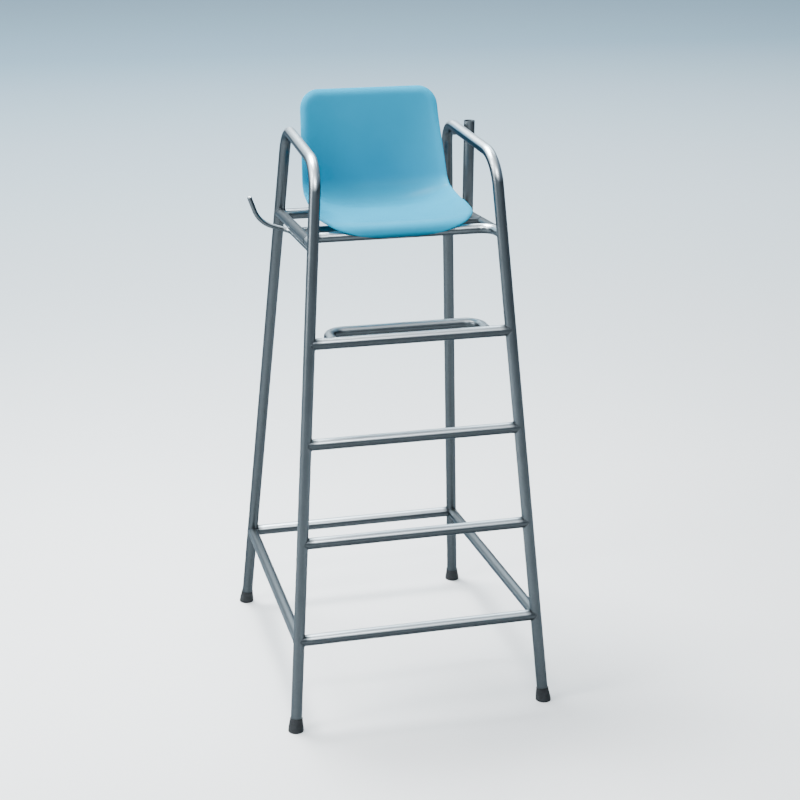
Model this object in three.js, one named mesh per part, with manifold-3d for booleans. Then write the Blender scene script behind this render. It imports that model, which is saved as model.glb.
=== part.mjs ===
// Poolside lifeguard chair: a ladder-fronted frame of bent, welded stainless tube with a moulded seat shell.
// Millimetres, +Z up, the sitter faces -Y. The origin is on the floor, in the middle of the four feet.
// Left and right are the sitter's: left is +X and right is -X.

import * as THREE from 'three';
import { mergeVertices } from 'three/addons/utils/BufferGeometryUtils.js';
import Module from 'manifold-3d';

const wasm = await Module();
wasm.setup();

// Fits
const weldGap = 0.3;           // between two pieces that are welded or lie on each other
const cutOverrun = 4;          // how far a cutting solid passes the piece that it cuts

// Side frames: front leg, armrest and rear leg are one bent tube
const legDiameter = 38;
const legWall = 1.5;
const stanceDepth = 1032;      // between the front and rear leg centre lines at the floor
const frontStance = 880;       // between the front leg centre lines at the floor
const rearStance = 832;
const legLean = THREE.MathUtils.degToRad(7.8);    // front and rear legs lean towards each other
const sideLean = THREE.MathUtils.degToRad(4.1);   // the side frames lean inwards
const armRise = 269;           // armrest centre line above the seat's front rail, midway between the legs
const armFall = THREE.MathUtils.degToRad(2.4);    // the armrest falls towards the front
const armFrontBend = 116;      // centre-line radii of the two bends
const armRearBend = 90;

// Ladder front and base frame
const barDiameter = 38;        // the rungs, the base bars and the seat's rear rail
const barWall = 1.5;
const topRungHeight = 1300;
const rungPitch = 330;
const rungCount = 4;

// Footrest: a bent bar behind the top rung
const footrestDiameter = 36;
const footrestWall = 1.5;
const footrestDepth = 113;     // from the rung's centre line to the bar's
const footrestSpan = 524;      // between the centre lines of its two returns
const footrestBend = 55;

// Seat frame
const seatTubeDiameter = 34;
const seatTubeWall = 1.5;
const seatTilt = THREE.MathUtils.degToRad(3.15);  // the seat falls towards the back
const seatBarHeight = 1613;    // centre line of the front rail above the floor
const seatBarShare = 0.19;     // place of the front rail between the front and rear legs' centre lines
const seatBarBend = 50;
const rearRailDrop = 7.5;      // centre line under the seat frame's centre plane
const railNoseShare = 0.75;    // how far the side rail's end runs along the front rail's bend
const crossbarShare = 0.226;   // place of the crossbar between the front rail and the rear legs
const bearerSpacing = 220;     // two flat bars from the crossbar to the rear rail carry the shell
const bearerWidth = 40;
const bearerThickness = 6;

// Rubber feet: bells that widen towards the floor
const footHeight = 45;
const footBaseDiameter = 53;
const footTopDiameter = 42;
const footRimHeight = 7;       // the rim at the floor is upright up to here
const footBellShare = 0.8;     // exponent of the widening
const footSoleThickness = 9;
const footEdge = 1.5;

// Lifebuoy hook: a solid rod under the right side rail
const hookRod = 16;
const hookStation = 80;        // behind the middle of the chair
const hookReach = 452;         // from the middle of the chair to the tip
const hookRise = 111;          // from the root to the tip
const hookRootOut = 6.5;       // the root lies outboard of the rail's centre line and below it
const hookRootDrop = 15.5;
const hookBend = 94;
const hookBendReachShare = 0.769;                 // where the two straight runs would meet
const hookBendRiseShare = 0.234;

// Parasol tube on the left side rail
const parasolDiameter = 38;
const parasolWall = 1.5;
const parasolStation = 183;
const parasolDrop = 32.8;      // from the seat rail's centre line down to the tube's end
const parasolRise = 15.2;      // from the armrest's centre line up to its open end
const stopThickness = 4;
const stopDrain = 12;
const lugHeight = 26;
const lugDrop = 20;            // below the armrest's centre line
const lugThickness = 6;

// Seat shell: its centre section runs down the back, round the crease, forward over the pan and down the lip
const shellThickness = 4.5;
const panLift = 40;            // top of the pan above the seat frame's centre plane
const backHeight = 389;        // from the crease, where the pan and the back would meet, to the top
const backLean = THREE.MathUtils.degToRad(9.1);
const creaseSetback = 377;     // from the front rail's centre line to the crease
const creaseRadius = 95;
const lipReach = 25;           // from the front rail's centre line forward to the lip
const lipRadius = 42;
const lipDrop = 48.5;
const backHalfWidth = 243;
const waistHalfWidth = 258;
const panHalfWidth = 266;
const topCornerRadius = 66;
const lipCornerRun = 118;      // the lip's lower edge rises to the side edges over this run
const lipFlatHalfWidth = 30;
const wingShare = 3.2;         // exponent of the dish from side to side
const backWingDepth = 16;
const creaseWingDepth = 76;
const panWingDepth = 42;
const lipWingDepth = 3;
const rimBand = 26;            // the edge rolls over within this width
const rimRoll = 9;
const lipRoll = 1;

// Seat fasteners
const boltDiameter = 8;
const boltHeadAcross = 13;
const boltHeadHeight = 5.3;
const washerDiameter = 20;
const washerThickness = 1.6;
const boltBite = 11;           // length of the shank inside the boss
const boltClearance = 0.5;
const boreRunOut = 1.5;        // the boss is bored this much deeper than the bolt reaches
const bossDiameter = 26;
const bossCover = 1.5;         // the boss ends this far under the pan's top face
const bossTrim = 20;           // how far it is made too long before it is cut there
const frontBoltSetback = 41;   // from the crossbar's centre line to the front bolts'
const boltPitch = 116;         // from the front bolts to the rear ones

// Facets
const tubeFacets = 8;          // half the sides of a round tube
const bendSteps = 6;
const rodFacets = 6;
const footSteps = 20;
const bellSteps = 3;
const cornerRows = 6;
const middleRows = 18;
const shellColumns = 24;

const steel = new THREE.MeshStandardMaterial({ color: 0x8d979c, roughness: 0.34, metalness: 1 });
const fixingSteel = new THREE.MeshStandardMaterial({ color: 0xa4abae, roughness: 0.4, metalness: 1 });
const rubber = new THREE.MeshStandardMaterial({ color: 0x24282b, roughness: 0.85, metalness: 0 });
const seatPlastic = new THREE.MeshStandardMaterial({ color: 0x6fbbd6, roughness: 0.42, metalness: 0 });

const part = new THREE.Group();

function addMesh(name, geometry, material, parent = part) {
  const mesh = new THREE.Mesh(geometry, material);
  mesh.name = name;
  parent.add(mesh);
  return mesh;
}

// Solids for joining and cutting
function solidOf(geometry) {
  const bare = geometry.clone();
  bare.deleteAttribute('normal');
  bare.deleteAttribute('uv');
  const merged = mergeVertices(bare);
  return new wasm.Manifold(new wasm.Mesh({
    numProp: 3,
    vertProperties: new Float32Array(merged.attributes.position.array),
    triVerts: new Uint32Array(merged.index.array),
  }));
}

function geometryOf(solid) {
  const mesh = solid.getMesh();
  const geometry = new THREE.BufferGeometry();
  geometry.setAttribute('position', new THREE.BufferAttribute(new Float32Array(mesh.vertProperties), 3));
  geometry.setIndex(new THREE.BufferAttribute(new Uint32Array(mesh.triVerts), 1));
  return geometry;
}

function cut(solid, cutters) {
  return cutters.reduce((left, cutter) => left.subtract(cutter), solid);
}

// A centre line of straight runs and round bends, with stations only at run ends and round the bends
class BentLine extends THREE.Curve {
  constructor(corners, radii) {
    super();
    this.points = [];
    this.tangents = [];
    this.addStation(corners[0], corners[1].clone().sub(corners[0]));
    for (let i = 1; i < corners.length - 1; i += 1) {
      this.addBend(corners[i - 1], corners[i], corners[i + 1], radii[i - 1]);
    }
    const last = corners[corners.length - 1];
    this.addStation(last, last.clone().sub(corners[corners.length - 2]));
  }

  addStation(point, direction) {
    this.points.push(point.clone());
    this.tangents.push(direction.clone().normalize());
  }

  addBend(before, corner, after, radius) {
    const incoming = corner.clone().sub(before).normalize();
    const outgoing = after.clone().sub(corner).normalize();
    const turn = incoming.angleTo(outgoing);
    const start = corner.clone().addScaledVector(incoming, -radius * Math.tan(turn / 2));
    const inward = outgoing.clone().addScaledVector(incoming, -Math.cos(turn)).normalize();
    for (let step = 0; step <= bendSteps; step += 1) {
      const angle = turn * step / bendSteps;
      const point = start.clone()
        .addScaledVector(incoming, radius * Math.sin(angle))
        .addScaledVector(inward, radius * (1 - Math.cos(angle)));
      const direction = incoming.clone().multiplyScalar(Math.cos(angle))
        .addScaledVector(inward, Math.sin(angle));
      this.addStation(point, direction);
    }
  }

  stationAt(t) {
    return Math.round(t * (this.points.length - 1));
  }

  getPoint(t, target = new THREE.Vector3()) {
    return target.copy(this.points[this.stationAt(t)]);
  }

  getPointAt(t, target) {
    return this.getPoint(t, target);
  }

  getTangentAt(t, target = new THREE.Vector3()) {
    return target.copy(this.tangents[this.stationAt(t)]);
  }

  getSpacedPoints() {
    return this.points.map((point) => point.clone());
  }
}

function sweep(line, outerRadius, innerRadius, facets) {
  const section = new THREE.Shape();
  section.absarc(0, 0, outerRadius, 0, 2 * Math.PI);
  if (innerRadius > 0) {
    const bore = new THREE.Path();
    bore.absarc(0, 0, innerRadius, 0, 2 * Math.PI, true);
    section.holes.push(bore);
  }
  return new THREE.ExtrudeGeometry(section, {
    steps: line.points.length - 1,
    extrudePath: line,
    curveSegments: facets,
  });
}

function tube(line, diameter, wall) {
  return sweep(line, diameter / 2, diameter / 2 - wall, tubeFacets);
}

function envelope(line, diameter) {
  return solidOf(sweep(line, diameter / 2 + weldGap, 0, tubeFacets));
}

// Places on the two side frames, which lie in planes that lean inwards and close in towards the back
const armHeight = seatBarHeight + armRise;
const midStance = (frontStance + rearStance) / 4;
const planToe = (frontStance - rearStance) / 2 / stanceDepth;
const inwardLean = Math.tan(sideLean);
const foreLean = Math.tan(legLean);

function legSetback(z) {
  return stanceDepth / 2 - foreLean * z;
}

function sidePoint(side, y, z) {
  return new THREE.Vector3(side * (midStance - inwardLean * z - planToe * y), y, z);
}

function legPoint(side, end, z) {
  return sidePoint(side, end * legSetback(z), z);
}

function armCorner(side, end) {
  const fall = Math.tan(armFall);
  const y = end * (stanceDepth / 2 - foreLean * armHeight) / (1 + end * foreLean * fall);
  return sidePoint(side, y, armHeight + fall * y);
}

// The tube's cut ends stand on the soles of the rubber feet
function legEnd(side, end) {
  const direction = legPoint(side, end, armHeight).sub(legPoint(side, end, 0)).normalize();
  return legPoint(side, end, 0).addScaledVector(direction, footSoleThickness + weldGap);
}

function sideLine(side) {
  const corners = [legEnd(side, -1), armCorner(side, -1), armCorner(side, 1), legEnd(side, 1)];
  return new BentLine(corners, [armFrontBend, armRearBend]);
}

const sides = [['left', 1], ['right', -1]];
const ends = [['front', -1], ['rear', 1]];
const frameCutters = [];

for (const [word, side] of sides) {
  addMesh(`${word}_side_frame`, tube(sideLine(side), legDiameter, legWall), steel);
  frameCutters.push(envelope(sideLine(side), legDiameter));
}

// Ladder rungs and the base frame
const baseHeight = topRungHeight - (rungCount - 1) * rungPitch;

function barLine(end, z) {
  return new BentLine([legPoint(-1, end, z), legPoint(1, end, z)], []);
}

function baseSideLine(side) {
  return new BentLine([legPoint(side, -1, baseHeight), legPoint(side, 1, baseHeight)], []);
}

const baseSideCutters = sides.map(([, side]) => envelope(baseSideLine(side), barDiameter));

function weldedBar(line, diameter, wall, cutters) {
  return geometryOf(cut(solidOf(tube(line, diameter, wall)), cutters));
}

for (const [word, side] of sides) {
  addMesh(`${word}_base_bar`, weldedBar(baseSideLine(side), barDiameter, barWall, frameCutters), steel);
}
addMesh('rear_base_bar', weldedBar(barLine(1, baseHeight), barDiameter, barWall,
  [...frameCutters, ...baseSideCutters]), steel);

for (let i = 0; i < rungCount; i += 1) {
  const line = barLine(-1, baseHeight + i * rungPitch);
  const cutters = i === 0 ? [...frameCutters, ...baseSideCutters] : frameCutters;
  addMesh(`rung_${i + 1}`, weldedBar(line, barDiameter, barWall, cutters), steel);
}

// Footrest
function footrestLine() {
  const rungY = -legSetback(topRungHeight);
  const barY = rungY + footrestDepth;
  const half = footrestSpan / 2;
  const corners = [[-half, rungY], [-half, barY], [half, barY], [half, rungY]];
  return new BentLine(corners.map(([x, y]) => new THREE.Vector3(x, y, topRungHeight)),
    [footrestBend, footrestBend]);
}

addMesh('footrest_bar', weldedBar(footrestLine(), footrestDiameter, footrestWall,
  [envelope(barLine(-1, topRungHeight), barDiameter)]), steel);

// Seat frame, in a plane that falls towards the back
const seatBarY = legSetback(seatBarHeight) * (2 * seatBarShare - 1);

function seatPoint(side, y) {
  return sidePoint(side, y, seatBarHeight - Math.tan(seatTilt) * (y - seatBarY));
}

function seatBarLine() {
  const legY = -legSetback(seatBarHeight);
  const places = [[-1, legY], [-1, seatBarY], [1, seatBarY], [1, legY]];
  return new BentLine(places.map(([side, y]) => seatPoint(side, y)), [seatBarBend, seatBarBend]);
}

const rearSeatY = legSetback(seatPoint(1, legSetback(seatBarHeight)).z);
const rearRailHeight = seatPoint(1, rearSeatY).z - rearRailDrop;

function seatSideLine(side) {
  const noseY = seatBarY - seatBarBend * railNoseShare;
  return new BentLine([seatPoint(side, noseY), seatPoint(side, rearSeatY)], []);
}

const seatBarCutter = envelope(seatBarLine(), seatTubeDiameter);
const seatSideCutters = sides.map(([, side]) => envelope(seatSideLine(side), seatTubeDiameter));

addMesh('seat_front_rail', weldedBar(seatBarLine(), seatTubeDiameter, seatTubeWall, frameCutters), steel);
for (const [word, side] of sides) {
  addMesh(`seat_${word}_rail`, weldedBar(seatSideLine(side), seatTubeDiameter, seatTubeWall,
    [...frameCutters, seatBarCutter]), steel);
}

// Rubber feet, cut flat where they stand
function footProfile() {
  const base = footBaseDiameter / 2;
  const top = footTopDiameter / 2;
  const pocket = legDiameter / 2 + weldGap;
  const below = -base / 2;
  const outline = [[0, below], [base, below]];
  for (let i = 0; i <= bellSteps; i += 1) {
    const share = i / bellSteps;
    const height = THREE.MathUtils.lerp(footRimHeight, footHeight - footEdge, share);
    outline.push([THREE.MathUtils.lerp(top, base, (1 - share) ** footBellShare), height]);
  }
  outline.push([top - footEdge / 2, footHeight], [pocket, footHeight],
    [pocket, footSoleThickness], [0, footSoleThickness]);
  return outline.map(([radius, height]) => new THREE.Vector2(radius, height));
}

function footGeometry(side, end) {
  const axis = legPoint(side, end, armHeight).sub(legPoint(side, end, 0)).normalize();
  const lathe = new THREE.LatheGeometry(footProfile(), footSteps);
  lathe.applyQuaternion(new THREE.Quaternion().setFromUnitVectors(new THREE.Vector3(0, 1, 0), axis));
  const at = legPoint(side, end, 0);
  lathe.translate(at.x, at.y, at.z);
  const floor = new THREE.BoxGeometry(2 * footBaseDiameter, 2 * footBaseDiameter, footBaseDiameter);
  floor.translate(at.x, at.y, -footBaseDiameter / 2);
  return geometryOf(solidOf(lathe).subtract(solidOf(floor)));
}

for (const [endWord, end] of ends) {
  for (const [word, side] of sides) {
    addMesh(`${endWord}_${word}_foot`, footGeometry(side, end), rubber);
  }
}

// Lifebuoy hook
function hookGeometry() {
  const root = seatPoint(-1, hookStation).add(new THREE.Vector3(-hookRootOut, 0, -hookRootDrop));
  const end = new THREE.Vector3(-hookReach, hookStation, root.z + hookRise);
  const bend = new THREE.Vector3(THREE.MathUtils.lerp(root.x, end.x, hookBendReachShare), hookStation,
    THREE.MathUtils.lerp(root.z, end.z, hookBendRiseShare));
  const line = new BentLine([root, bend, end], [hookBend]);
  const tip = new THREE.SphereGeometry(hookRod / 2, 2 * rodFacets, rodFacets);
  tip.translate(end.x, end.y, end.z);
  const rod = solidOf(sweep(line, hookRod / 2, 0, rodFacets)).add(solidOf(tip));
  return geometryOf(cut(rod, [seatSideCutters[1]]));
}

addMesh('lifebuoy_hook', hookGeometry(), steel);

// Parasol tube: upright, beside the left seat rail, with a lug to the armrest and a stop in its foot
const parasolRailPoint = seatPoint(1, parasolStation);
const parasolArmPoint = sidePoint(1, parasolStation, armHeight + Math.tan(armFall) * parasolStation);
const parasolX = parasolRailPoint.x + (seatTubeDiameter + parasolDiameter) / 2 + 2 * weldGap;
const parasolBottom = parasolRailPoint.z - parasolDrop;
const parasolTop = parasolArmPoint.z + parasolRise;

function parasolLine(bottom, top) {
  return new BentLine([
    new THREE.Vector3(parasolX, parasolStation, bottom),
    new THREE.Vector3(parasolX, parasolStation, top),
  ], []);
}

function stopGeometry() {
  const radius = parasolDiameter / 2 - parasolWall - weldGap;
  const disc = new THREE.Shape();
  disc.absarc(0, 0, radius, 0, 2 * Math.PI);
  const drain = new THREE.Path();
  drain.absarc(0, 0, stopDrain / 2, 0, 2 * Math.PI, true);
  disc.holes.push(drain);
  const settings = { depth: stopThickness, bevelEnabled: false, curveSegments: tubeFacets };
  return new THREE.ExtrudeGeometry(disc, settings);
}

function lugGeometry() {
  const arm = parasolArmPoint;
  const plate = new THREE.BoxGeometry(parasolX - arm.x, lugThickness, lugHeight);
  plate.translate((parasolX + arm.x) / 2, parasolStation, arm.z - lugDrop);
  const tubeCutter = envelope(parasolLine(parasolBottom, parasolTop + cutOverrun), parasolDiameter);
  return geometryOf(cut(solidOf(plate), [frameCutters[0], tubeCutter]));
}

addMesh('parasol_tube', tube(parasolLine(parasolBottom, parasolTop), parasolDiameter, parasolWall), steel);
addMesh('parasol_tube_lug', lugGeometry(), steel);
addMesh('parasol_tube_stop', stopGeometry(), steel).position.set(parasolX, parasolStation, parasolBottom);

// Crossbar between the side rails, and the two flat bearers behind it that carry the shell's bosses
const seatPlane = new THREE.Matrix4().makeRotationX(-seatTilt)
  .setPosition(0, seatBarY, seatBarHeight);

function onSeatPlane(geometry, x, y, lift) {
  geometry.translate(x, (y - seatBarY) / Math.cos(seatTilt), lift);
  return geometry.applyMatrix4(seatPlane);
}

function seatCrossLine(y) {
  return new BentLine([seatPoint(-1, y), seatPoint(1, y)], []);
}

const crossbarY = THREE.MathUtils.lerp(seatBarY, legSetback(seatBarHeight), crossbarShare);
const rearRailLine = barLine(1, rearRailHeight);
const bearerCutters = [
  envelope(seatCrossLine(crossbarY), seatTubeDiameter),
  envelope(rearRailLine, barDiameter),
];

addMesh('seat_crossbar', weldedBar(seatCrossLine(crossbarY), seatTubeDiameter, seatTubeWall,
  seatSideCutters), steel);
addMesh('seat_rear_rail', weldedBar(rearRailLine, barDiameter, barWall,
  [...frameCutters, ...seatSideCutters]), steel);

function rod(radius, bottom, top, facets) {
  const cylinder = new THREE.CylinderGeometry(radius, radius, top - bottom, facets);
  cylinder.rotateX(Math.PI / 2);
  return cylinder.translate(0, 0, (top + bottom) / 2);
}

const frontBoltY = crossbarY + frontBoltSetback;
const boltStations = [['front', frontBoltY], ['rear', frontBoltY + boltPitch]];
const underside = -bearerThickness / 2;

function boltBores(side) {
  const radius = boltDiameter / 2 + boltClearance;
  const reach = bearerThickness / 2 + weldGap + boltBite + boreRunOut;
  const bore = () => rod(radius, underside - cutOverrun, reach, 2 * tubeFacets);
  return boltStations.map(([, y]) => solidOf(onSeatPlane(bore(), side * bearerSpacing / 2, y, 0)));
}

function bearerGeometry(side) {
  const length = (rearSeatY - crossbarY) / Math.cos(seatTilt);
  const flat = new THREE.BoxGeometry(bearerWidth, length, bearerThickness);
  const bar = onSeatPlane(flat, side * bearerSpacing / 2, (rearSeatY + crossbarY) / 2, 0);
  return geometryOf(cut(solidOf(bar), [...bearerCutters, ...boltBores(side)]));
}

function washerGeometry() {
  const disc = solidOf(rod(washerDiameter / 2, 0, washerThickness, 2 * tubeFacets));
  const boreRadius = boltDiameter / 2 + boltClearance;
  const bore = rod(boreRadius, -cutOverrun, washerThickness + cutOverrun, 2 * tubeFacets);
  return geometryOf(disc.subtract(solidOf(bore)));
}

function boltGeometry() {
  const grip = weldGap + washerThickness + weldGap + bearerThickness + weldGap;
  const shankTop = boltHeadHeight + grip + boltBite;
  const head = solidOf(rod(boltHeadAcross / Math.sqrt(3), 0, boltHeadHeight, 6));
  const shank = solidOf(rod(boltDiameter / 2, boltHeadHeight / 2, shankTop, 2 * rodFacets));
  return geometryOf(head.add(shank));
}

const washerLift = underside - weldGap - washerThickness;
const boltLift = washerLift - weldGap - boltHeadHeight;

for (const [word, side] of sides) {
  addMesh(`seat_${word}_bearer`, bearerGeometry(side), steel);
  for (const [endWord, y] of boltStations) {
    const x = side * bearerSpacing / 2;
    addMesh(`${endWord}_${word}_washer`, onSeatPlane(washerGeometry(), x, y, washerLift), fixingSteel);
    addMesh(`${endWord}_${word}_bolt`, onSeatPlane(boltGeometry(), x, y, boltLift), fixingSteel);
  }
}

// Seat shell: a surface swept down the centre section, dished towards its sides and rolled over at its edge
const panFall = Math.tan(seatTilt);
const backSlope = Math.tan(backLean);

function panPoint(setback) {
  return new THREE.Vector3(0, seatBarY + setback, seatBarHeight + panLift - panFall * setback);
}

function shellCentreLine() {
  const crease = panPoint(creaseSetback);
  const top = crease.clone().add(new THREE.Vector3(0, backSlope * backHeight, backHeight));
  const lip = panPoint(-lipReach);
  const bottom = lip.clone().add(new THREE.Vector3(0, 0, -lipDrop));
  return new BentLine([top, crease, lip, bottom], [creaseRadius, lipRadius]);
}

const shellLine = shellCentreLine();
const shellRuns = shellLine.points.map((point, i) => shellLine.points.slice(1, i + 1)
  .reduce((run, to, j) => run + to.distanceTo(shellLine.points[j]), 0));
const shellLength = shellRuns[shellRuns.length - 1];
const creaseRun = (shellRuns[1] + shellRuns[1 + bendSteps]) / 2;
const panRun = (shellRuns[1 + bendSteps] + shellRuns[2 + bendSteps]) / 2;

function along(run) {
  const next = Math.max(1, shellRuns.findIndex((at) => at >= run));
  const share = (run - shellRuns[next - 1]) / (shellRuns[next] - shellRuns[next - 1]);
  const point = shellLine.points[next - 1].clone().lerp(shellLine.points[next], share);
  const tangent = shellLine.tangents[next - 1].clone().lerp(shellLine.tangents[next], share).normalize();
  return { point, inward: new THREE.Vector3(0, tangent.z, -tangent.y) };
}

function blend(run, values) {
  const stations = [0, creaseRun, panRun, shellLength];
  const next = Math.max(1, stations.findIndex((at) => at >= run));
  const share = THREE.MathUtils.smoothstep(run, stations[next - 1], stations[next]);
  return THREE.MathUtils.lerp(values[next - 1], values[next], share);
}

// A quarter ellipse: zero at the edge, one where the corner ends
function cornerShare(distance, length) {
  const left = Math.max(0, 1 - distance / length);
  return Math.sqrt(1 - left * left);
}

function fullHalfWidth(run) {
  return blend(run, [backHalfWidth, waistHalfWidth, panHalfWidth, panHalfWidth]);
}

function halfWidth(run) {
  const topLoss = topCornerRadius * (1 - cornerShare(run, topCornerRadius));
  const lipLoss = (panHalfWidth - lipFlatHalfWidth) * (1 - cornerShare(shellLength - run, lipCornerRun));
  return fullHalfWidth(run) - topLoss - lipLoss;
}

// How far a place on the shell is from the edge, measured to the arc in the back's top corners
function edgeDistance(run, x) {
  const past = Math.abs(x) - fullHalfWidth(run) + topCornerRadius;
  if (run < topCornerRadius && past > 0) {
    return topCornerRadius - Math.hypot(topCornerRadius - run, past);
  }
  return Math.min(run, shellLength - run, halfWidth(run) - Math.abs(x));
}

function shellPoint(run, across) {
  const { point, inward } = along(run);
  const x = halfWidth(run) * across;
  const wing = blend(run, [backWingDepth, creaseWingDepth, panWingDepth, lipWingDepth]);
  const roll = blend(run, [rimRoll, rimRoll, rimRoll, lipRoll]);
  const wingRise = wing * Math.abs(x / fullHalfWidth(run)) ** wingShare;
  const rollShare = Math.max(0, 1 - edgeDistance(run, x) / rimBand) ** 2;
  return point.setX(x).addScaledVector(inward, wingRise - roll * rollShare);
}

function shellGrid() {
  const runs = [];
  for (let i = 0; i < cornerRows; i += 1) {
    runs.push(topCornerRadius * (1 - Math.cos(i / cornerRows * Math.PI / 2)));
  }
  const middle = shellLength - topCornerRadius - lipCornerRun;
  for (let i = 0; i < middleRows; i += 1) {
    runs.push(topCornerRadius + middle * i / middleRows);
  }
  for (let i = cornerRows; i >= 0; i -= 1) {
    runs.push(shellLength - lipCornerRun * (1 - Math.cos(i / cornerRows * Math.PI / 2)));
  }
  const across = Array.from({ length: shellColumns + 1 },
    (_, i) => Math.sin((i / shellColumns - 1 / 2) * Math.PI));
  return runs.map((run) => across.map((share) => shellPoint(run, share)));
}

// A face that stands off the inner one along its normals, outwards if the distance is above zero
function offsetGrid(grid, distance) {
  const lastRow = grid.length - 1;
  const lastColumn = grid[0].length - 1;
  return grid.map((row, i) => row.map((point, j) => {
    const sideways = row[Math.min(j + 1, lastColumn)].clone().sub(row[Math.max(j - 1, 0)]);
    const down = grid[Math.min(i + 1, lastRow)][j].clone().sub(grid[Math.max(i - 1, 0)][j]);
    return point.clone().addScaledVector(sideways.cross(down).normalize(), distance);
  }));
}

function solidBetween(inner, outer) {
  const columns = inner[0].length;
  const rows = inner.length;
  const points = [...inner.flat(), ...outer.flat()];
  const outerStart = rows * columns;
  const faces = [];
  const quad = (a, b, c, d) => faces.push(a, b, c, a, c, d);
  for (let i = 0; i < rows - 1; i += 1) {
    for (let j = 0; j < columns - 1; j += 1) {
      const a = i * columns + j;
      quad(a, a + columns, a + columns + 1, a + 1);
      quad(outerStart + a, outerStart + a + 1, outerStart + a + columns + 1, outerStart + a + columns);
    }
  }
  const rim = [];
  for (let j = 0; j < columns - 1; j += 1) rim.push(j);
  for (let i = 0; i < rows - 1; i += 1) rim.push(i * columns + columns - 1);
  for (let j = columns - 1; j > 0; j -= 1) rim.push((rows - 1) * columns + j);
  for (let i = rows - 1; i > 0; i -= 1) rim.push(i * columns);
  rim.forEach((from, i) => {
    const to = rim[(i + 1) % rim.length];
    quad(from, to, outerStart + to, outerStart + from);
  });
  const geometry = new THREE.BufferGeometry();
  const positions = points.flatMap((point) => point.toArray());
  geometry.setAttribute('position', new THREE.BufferAttribute(new Float32Array(positions), 3));
  geometry.setIndex(faces);
  return solidOf(geometry);
}

function bossSolids(side) {
  const bottom = bearerThickness / 2 + weldGap;
  const boss = () => rod(bossDiameter / 2, bottom, panLift + bossTrim, 2 * tubeFacets);
  return boltStations.map(([, y]) => solidOf(onSeatPlane(boss(), side * bearerSpacing / 2, y, 0)));
}

function shellGeometry() {
  const inner = shellGrid();
  const bossRoom = solidBetween(offsetGrid(inner, -2 * bossTrim), offsetGrid(inner, bossCover));
  const bosses = sides.flatMap(([, side]) => bossSolids(side)).map((boss) => boss.subtract(bossRoom));
  const skin = solidBetween(inner, offsetGrid(inner, shellThickness));
  const joined = bosses.reduce((sum, boss) => sum.add(boss), skin);
  return geometryOf(cut(joined, sides.flatMap(([, side]) => boltBores(side))));
}

addMesh('seat_shell', shellGeometry(), seatPlastic);

export default part;
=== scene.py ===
import math

import bpy
from mathutils import Matrix, Vector


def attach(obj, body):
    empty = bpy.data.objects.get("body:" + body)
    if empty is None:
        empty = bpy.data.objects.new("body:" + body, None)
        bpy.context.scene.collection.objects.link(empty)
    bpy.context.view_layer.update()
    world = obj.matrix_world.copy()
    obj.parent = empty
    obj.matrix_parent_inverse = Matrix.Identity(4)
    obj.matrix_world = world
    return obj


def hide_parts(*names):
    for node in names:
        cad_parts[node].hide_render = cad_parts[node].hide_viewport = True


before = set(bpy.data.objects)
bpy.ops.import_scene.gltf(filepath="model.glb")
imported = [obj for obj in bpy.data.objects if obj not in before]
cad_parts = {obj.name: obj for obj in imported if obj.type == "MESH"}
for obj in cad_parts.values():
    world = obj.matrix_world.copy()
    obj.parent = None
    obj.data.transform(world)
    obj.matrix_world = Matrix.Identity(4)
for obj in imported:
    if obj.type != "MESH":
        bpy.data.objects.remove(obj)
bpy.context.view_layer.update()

# Everything is in metres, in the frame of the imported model: +Z up, the sitter faces -Y, +X is the
# sitter's left.
MM = 0.001
LEFT, RIGHT = 1, -1
FRONT, REAR = -1, 1
SIDES = [("left", LEFT), ("right", RIGHT)]
GAP = 0.3 * MM

# Side frames: leg, arm and leg are one tube. Leans and falls are slopes.
LEG_RADIUS = 19 * MM
TUBE_WALL = 1.5 * MM
STANCE_DEPTH = 1032 * MM
MID_STANCE = 428 * MM
PLAN_TOE = 24 / 1032
INWARD_LEAN = math.tan(math.radians(4.1))
FORE_LEAN = math.tan(math.radians(7.8))
LEG_END_HEIGHT = 9.3 * MM
ARM_HEIGHT = 1882 * MM
ARM_FALL = math.tan(math.radians(2.4))
ARM_FRONT_BEND = 116 * MM
ARM_REAR_BEND = 90 * MM

# Rungs, low bars and footrest
BAR_RADIUS = 19 * MM
RUNG_HEIGHTS = [310 * MM, 640 * MM, 970 * MM, 1300 * MM]
BASE_HEIGHT = RUNG_HEIGHTS[0]
FOOTREST_HEIGHT = RUNG_HEIGHTS[-1]
FOOTREST_RADIUS = 18 * MM
FOOTREST_DEPTH = 113 * MM
FOOTREST_HALF = 262 * MM
FOOTREST_BEND = 55 * MM

# Seat frame. The front bar lies at a share of the way from the front legs to the rear legs. The
# side rails start a share of the bar's bend radius in front of it. The crossbar lies at a share
# of the way from the bar to the rear legs.
SEAT_RADIUS = 17 * MM
SEAT_FALL = math.tan(math.radians(3.15))
SEAT_TILT = math.atan(SEAT_FALL)
SEAT_BAR_HEIGHT = 1613 * MM
SEAT_BAR_SHARE = 0.19
SEAT_BAR_BEND = 50 * MM
NOSE_SHARE = 0.75
REAR_RAIL_DROP = 7.5 * MM
CROSSBAR_SHARE = 0.226

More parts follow.
